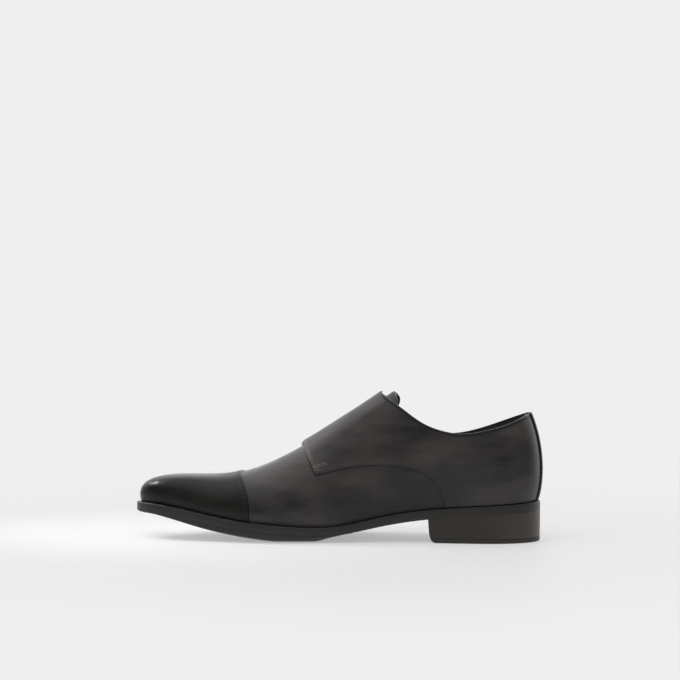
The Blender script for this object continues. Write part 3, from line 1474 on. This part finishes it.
# %% Both buckles
PRONG_NOSE = 2.6       # the prong's bend over each bar
PRONG_HEEL_RISE = 1.0
PRONG_SAG = 0.4        # its middle lies this much lower, on the strap
PRONG_DROOP = 0.7
for name, station, *_ in STRAPS:
    seat = Seat(station)
    front, heel = bar_heights(seat)
    half = BUCKLE_LONG / 2
    frame_path = [seat.point(a, b, front + (heel - front) * (b + half) / BUCKLE_LONG) for a, b in outline]
    frame_bar = bar_mesh(name + "_frame_bar", frame_path, seat.off, BAR / 2, METAL, closed=True)
    wear(frame_bar, "buckle_metal", name + "_buckle_frame")
    rest = front + BAR / 2 + GAP + PRONG / 2
    root = half - BAR / 2 - GAP - PRONG / 2
    bends = np.array([
        (root, heel),
        (root - PRONG_NOSE, heel + PRONG_HEEL_RISE),
        (0.0, rest - PRONG_SAG),
        (-half, rest),
        (-half - PRONG_NOSE, rest - PRONG_DROOP),
    ])
    run = running_length(bends)
    smooth_bends = spline(run, bends)(np.linspace(0, run[-1], 40))
    prong_path = [seat.point(0.0, down, off) for down, off in smooth_bends]
    prong_bar = bar_mesh(name + "_prong_bar", prong_path, seat.across, PRONG / 2, METAL)
    wear(prong_bar, "buckle_metal", name + "_buckle_prong")
print("two buckles, each", BUCKLE_WIDE + BAR, "by", BUCKLE_LONG + BAR, "mm")

# %% [markdown]
# ## Stitches
#
# Every seam is real thread. The rows of corners that the cutting left at a seam's distance from the edge
# are walked into lines, and short beads of thread are laid along them, a little askew as a lockstitch
# lies. All the beads of a seam are one mesh.

# %% Walk a seam
ON_LEVEL = 1e-9        # corners this near a level were cut there
SHORTEST_SEAM = 5.0


def seam_lines(piece, level, where=everywhere):
    """Lines of points on a piece's face at a distance from its edge, with the face's direction."""
    sheet = SHEETS[piece]
    corners, distance = sheet["corners"], sheet["distance"]
    point, out = form(*corners.T), normal(*corners.T)
    on = (np.abs(distance - level) < ON_LEVEL) & where(*point.T).astype(bool)
    point = point + out * sheet["offset"][:, None]
    key_of, first_with = {}, {}
    for i in np.flatnonzero(on):
        key = tuple(np.round(point[i], 3))
        key_of[i] = first_with.setdefault(key, i)
    links = {}
    for face in sheet["faces"]:
        for a, b in zip(face, (*face[1:], face[0])):
            if a in key_of and b in key_of and key_of[a] != key_of[b]:
                links.setdefault(key_of[a], set()).add(key_of[b])
                links.setdefault(key_of[b], set()).add(key_of[a])
    lines = []
    left = set(links)
    ends = sorted((i for i in links if len(links[i]) == 1), key=lambda i: tuple(point[i]))
    for start in ends + sorted(left, key=lambda i: tuple(point[i])):
        if start not in left:
            continue
        line, here = [start], start
        left.discard(start)
        while True:
            ahead = [i for i in links[here] if i in left]
            if not ahead:
                break
            here = min(ahead, key=lambda i: np.linalg.norm(point[i] - point[here]))
            left.discard(here)
            line.append(here)
        if start in links[here] and len(line) > 3:
            line.append(start)
        lines.append((point[line], out[line]))
    return [line for line in lines if running_length(line[0])[-1] > SHORTEST_SEAM]


cap_row = seam_lines("toe_cap_leather", FIRST_ROW)
print(f"the cap's front row is {sum(running_length(line)[-1] for line, _ in cap_row):.0f} mm long")


# %% Lay the beads
STITCH_PITCH = 2.5
BEAD_SIDES = 6
BEAD_FLAT = 0.7      # a bead is this much flatter than wide
BEAD_ASKEW = 0.12    # and lies this much askew to its seam
BEAD_DIP = 0.12      # its thin ends dip this far into the leather
BEAD_REACH = 0.4     # the seam's run is read this far before and after a bead
BEAD_RINGS = [
    # share of the length, share of the width
    (-0.5, 0.25),
    (-0.36, 0.85),
    (0.0, 1.0),
    (0.36, 0.85),
    (0.5, 0.25),
]
BEAD_INDEX = np.arange(len(BEAD_RINGS) * BEAD_SIDES).reshape(-1, BEAD_SIDES)
BEAD_FACES = [*ring_faces(BEAD_INDEX).tolist(), BEAD_INDEX[0].tolist(), BEAD_INDEX[-1].tolist()]


def along_line(values, run, at):
    """Value at a distance along a line, for each of its three columns."""
    return np.array([np.interp(at, run, values[:, k]) for k in range(3)])


def bead(line, out, run, at, length, width, lift):
    """Points of one bead, ring after ring, at a distance along its line."""
    up = unit(along_line(out, run, at))
    along = unit(along_line(line, run, at + BEAD_REACH) - along_line(line, run, at - BEAD_REACH))
    along = unit(along + unit(np.cross(up, along)) * BEAD_ASKEW)
    beside = unit(np.cross(up, along))
    points = []
    for share, size in BEAD_RINGS:
        middle = along_line(line, run, at) + along * share * length + up * (lift - BEAD_DIP * (1 - size))
        for turn in np.linspace(0, 2 * np.pi, BEAD_SIDES, endpoint=False):
            round_it = math.cos(turn) * beside + BEAD_FLAT * math.sin(turn) * up
            points.append(middle + width / 2 * size * round_it)
    return points


def stitches(name, lines, pitch=STITCH_PITCH, width=0.6, length_share=0.72, lift=0.02, thread=THREAD):
    """One mesh of thread beads along all the lines."""
    points, faces, beads = [], [], 0
    for line, out in lines:
        run = running_length(line)
        count = max(int(run[-1] / pitch), 1)
        for at in (np.arange(count) + 0.5) * run[-1] / count:
            faces += [[i + len(points) for i in face] for face in BEAD_FACES]
            points += bead(line, out, run, at, length_share * pitch, width, lift)
        beads += count
    print(f"{name}: {beads} stitches")
    return wear(mesh_object(name, place(points), faces, thread, merge=False), "upper_leather")


print("a stitch has", len(BEAD_FACES), "faces and is", STITCH_PITCH, "mm from the next")


# %% Find points on a side by station and height
def on_side(side, base, side_view):
    """Points and directions on a piece whose face lies at base over the last, given in side view."""
    w, t = np.meshgrid(np.linspace(0.3, 0.6, 500), np.linspace(0.3, 1.0, 500), indexing="ij")
    side = np.full(w.size, side)
    point, out = form(side, w.ravel(), t.ravel()), normal(side, w.ravel(), t.ravel())
    point = point + out * base
    found = [np.argmin((point[:, 0] - x) ** 2 + (point[:, 2] - z) ** 2) for x, z in side_view]
    return point[found], out[found]


def side_line(start, end, steps=24):
    """A straight row on the inside quarter, between two places in side view."""
    share = np.linspace(0, 1, steps)[:, None]
    return on_side(MEDIAL, GAP + STRAP_THICK, np.array(start) * (1 - share) + np.array(end) * share)


TACK = ((136.6, 56.2), (146.4, 58.6))  # a short double row ties down the front of the inside quarter
TACK_ROWS = 1.3
(tack_x0, tack_z0), (tack_x1, tack_z1) = TACK
tack_lines = [side_line((tack_x0, tack_z0 - drop), (tack_x1, tack_z1 - drop)) for drop in (0.0, TACK_ROWS)]
print("the tack has", len(tack_lines), "rows")


# %% Sew the upper
BACK_STRIP_FROM = 299.0


def sewn(*tests):
    """A test on points that holds where all the given ones do and ahead of the back strip."""
    return lambda x, y, z: np.all([*(test(x, y, z) for test in tests), x < BACK_STRIP_FROM], axis=0)


stitches("cap_seam_front_row", cap_row)
stitches("cap_seam_back_row", seam_lines("toe_cap_leather", SECOND_ROW))
for quarter, piece in (("inside", "inside_quarter_and_straps"), ("outside", "outside_quarter")):
    kept = sewn(off_the_opening, off_the_holes, off_the_front)
    stitches(quarter + "_quarter_seam", seam_lines(piece, FIRST_ROW, kept))
    lines = seam_lines(piece, COLLAR_ROW, sewn(round_the_opening))
    stitches(quarter + "_collar_seam", lines, width=0.8, length_share=0.86)
for row, level in (("first", FIRST_ROW), ("second", SECOND_ROW)):
    lines = seam_lines("inside_quarter_and_straps", level, sewn(along_the_front))
    stitches(f"front_edge_{row}_row", lines, thread=PALE_THREAD)
stitches("back_strip_seam", seam_lines("back_strip_leather", FIRST_ROW), width=0.42)
stitches("tongue_seam", seam_lines("tongue_leather", COLLAR_ROW))
stitches("lining_seam", seam_lines("lining", COLLAR_ROW, round_the_opening), lift=-0.9)
stitches("front_tack", tack_lines, pitch=1.6, thread=PALE_THREAD)

# %% [markdown]
# ## Camera, light and floor
#
# The shoe stands on a pale floor in even light, seen almost level from its inner side. A long lens flattens
# it as a catalogue picture does. Polished leather shows whatever surrounds it, so the surround differs by
# direction: dark in front at eye level, brighter overhead, and brightest behind, which draws the sheen
# along the outline. Dull surfaces get a soft light from the front instead. One large panel overhead lights
# the tops, and a narrow beam makes the highlight on the toe. The floor fades into the surround, so that no
# horizon cuts the picture.

# %% Camera
LENS_MM = 170.0
SENSOR_MM = 36.0
CAMERA_DISTANCE = 2.40
AZIMUTH, ELEVATION, PITCH = math.radians(6.0), math.radians(4.75), math.radians(2.3)
LOOK_AT = np.array([0.0, 0.0, 0.045])

camera = bpy.data.cameras.new("camera")
camera.lens, camera.sensor_width = LENS_MM, SENSOR_MM
eye = bpy.data.objects.new("camera", camera)
bpy.context.scene.collection.objects.link(eye)
level = math.cos(ELEVATION)
away = np.array([math.sin(AZIMUTH) * level, -math.cos(AZIMUTH) * level, math.sin(ELEVATION)])
eye.location = (LOOK_AT + away * CAMERA_DISTANCE).tolist()
eye.rotation_euler = (math.pi / 2 - PITCH, 0.0, AZIMUTH)
bpy.context.scene.camera = eye
print("camera at", [round(v, 3) for v in eye.location])

# %% Surround
SURROUND = 0.863                          # the level of the seamless ground, seen directly
BEHIND = 1.6                              # a bright wall behind makes the sheen along the outline
AHEAD_LOW, AHEAD_HIGH = 0.16, 0.38        # in front it is dark at eye level and brighter overhead
AMBIENT_FRONT, AMBIENT_BACK = 0.89, 0.13  # soft light that falls on dull surfaces, from either side


def pick(tree, share, first, second):
    """A number between two, by a share from 0 to 1."""
    return add_node(tree, "ShaderNodeMix", [(0, share), (2, first), (3, second)]).outputs[0]


world = bpy.data.worlds.new("studio")
bpy.context.scene.world = world
world.use_nodes = True
tree = world.node_tree
background = tree.nodes["Background"]
path = add_node(tree, "ShaderNodeLightPath").outputs
direction = add_node(tree, "ShaderNodeTexCoord").outputs["Generated"]
parts = add_node(tree, "ShaderNodeSeparateXYZ", [("Vector", direction)]).outputs
ahead = ramp(tree, parts["Z"], 0.12, 0.85, AHEAD_LOW, AHEAD_HIGH)
backward = ramp(tree, parts["Y"], 0.15, 1.0)
sky = pick(tree, backward, ahead, BEHIND)
soft = ramp(tree, parts["Y"], -0.8, 0.8, AMBIENT_FRONT, AMBIENT_BACK)
unseen = pick(tree, path["Is Diffuse Ray"], sky, soft)
strength = pick(tree, path["Is Camera Ray"], unseen, SURROUND)
tree.links.new(strength, background.inputs["Strength"])
background.inputs["Color"].default_value = (1.0, 1.0, 1.0, 1.0)
view = bpy.context.scene.view_settings
view.view_transform = "Standard"
view.look = "None"
print("surround level", SURROUND)


# %% Soft panels of light
def panel(name, target, direction, distance, size, power, spread=180.0):
    """A rectangular light that faces the target; a small spread in degrees keeps it off all else."""
    light = bpy.data.lights.new(name, "AREA")
    light.shape, (light.size, light.size_y), light.energy = "RECTANGLE", size, power
    light.spread = math.radians(spread)
    thing = bpy.data.objects.new(name, light)
    toward = unit(np.array(direction))
    x, y, z = toward
    thing.location = (np.array(target) + toward * distance).tolist()
    thing.rotation_euler = (math.acos(z), 0.0, math.atan2(y, x) + math.pi / 2)
    bpy.context.scene.collection.objects.link(thing)
    print(name, "stands at", [round(v, 2) for v in thing.location])


MIDDLE, TOE = (0.0, 0.0, 0.0), (-0.14, 0.0, 0.03)
panel("overhead", MIDDLE, (0.0, -0.12, 1.0), distance=2.4, size=(2.6, 2.6), power=19.0)
panel(
    "toe highlight", TOE, (-0.645, 0.317, 0.693), distance=1.9, size=(0.15, 0.085), power=0.085, spread=12.0
)

# %% Floor
FLOOR_RADIUS = 2.2
FLOOR_GREY = 0.49
FLOOR_GLOW = 0.38              # the floor is a lit pane: part of its light comes from below
FADE_FROM, FADE_TO = 0.22, 0.9  # in metres from the middle
floor_mesh = bpy.data.meshes.new("floor")
work = bmesh.new()
bmesh.ops.create_circle(work, cap_ends=True, segments=96, radius=FLOOR_RADIUS)
work.to_mesh(floor_mesh)
work.free()
floor = bpy.data.objects.new("floor", floor_mesh)
bpy.context.scene.collection.objects.link(floor)
floor_paint, tree, shader = new_finish(
    "pale floor", roughness=0.6, specular_ior_level=0.1, base_color=(FLOOR_GREY, FLOOR_GREY, FLOOR_GREY, 1.0),
    emission_color=(1.0, 1.0, 1.0, 1.0), emission_strength=FLOOR_GLOW,
)
away = add_node(tree, "ShaderNodeVectorMath", [(0, object_place(tree))], operation="LENGTH").outputs["Value"]
tree.links.new(ramp(tree, away, FADE_FROM, FADE_TO, 1.0, 0.0), shader.inputs["Alpha"])
floor_mesh.materials.append(floor_paint)
floor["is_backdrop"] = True
print("the floor fades out within", FADE_TO, "m")

# %% [markdown]
# ## The last check
#
# The dressed shoe must fill the same box as the plain one.

# %% Compare the boxes and finish
dressed_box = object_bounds()


def plain(box):
    return [[float(v) for v in corner] for corner in box]


{"frame": plain(plain_box), "dressed": plain(dressed_box)}
print("frame box", plain(plain_box))
print("dressed box", plain(dressed_box))
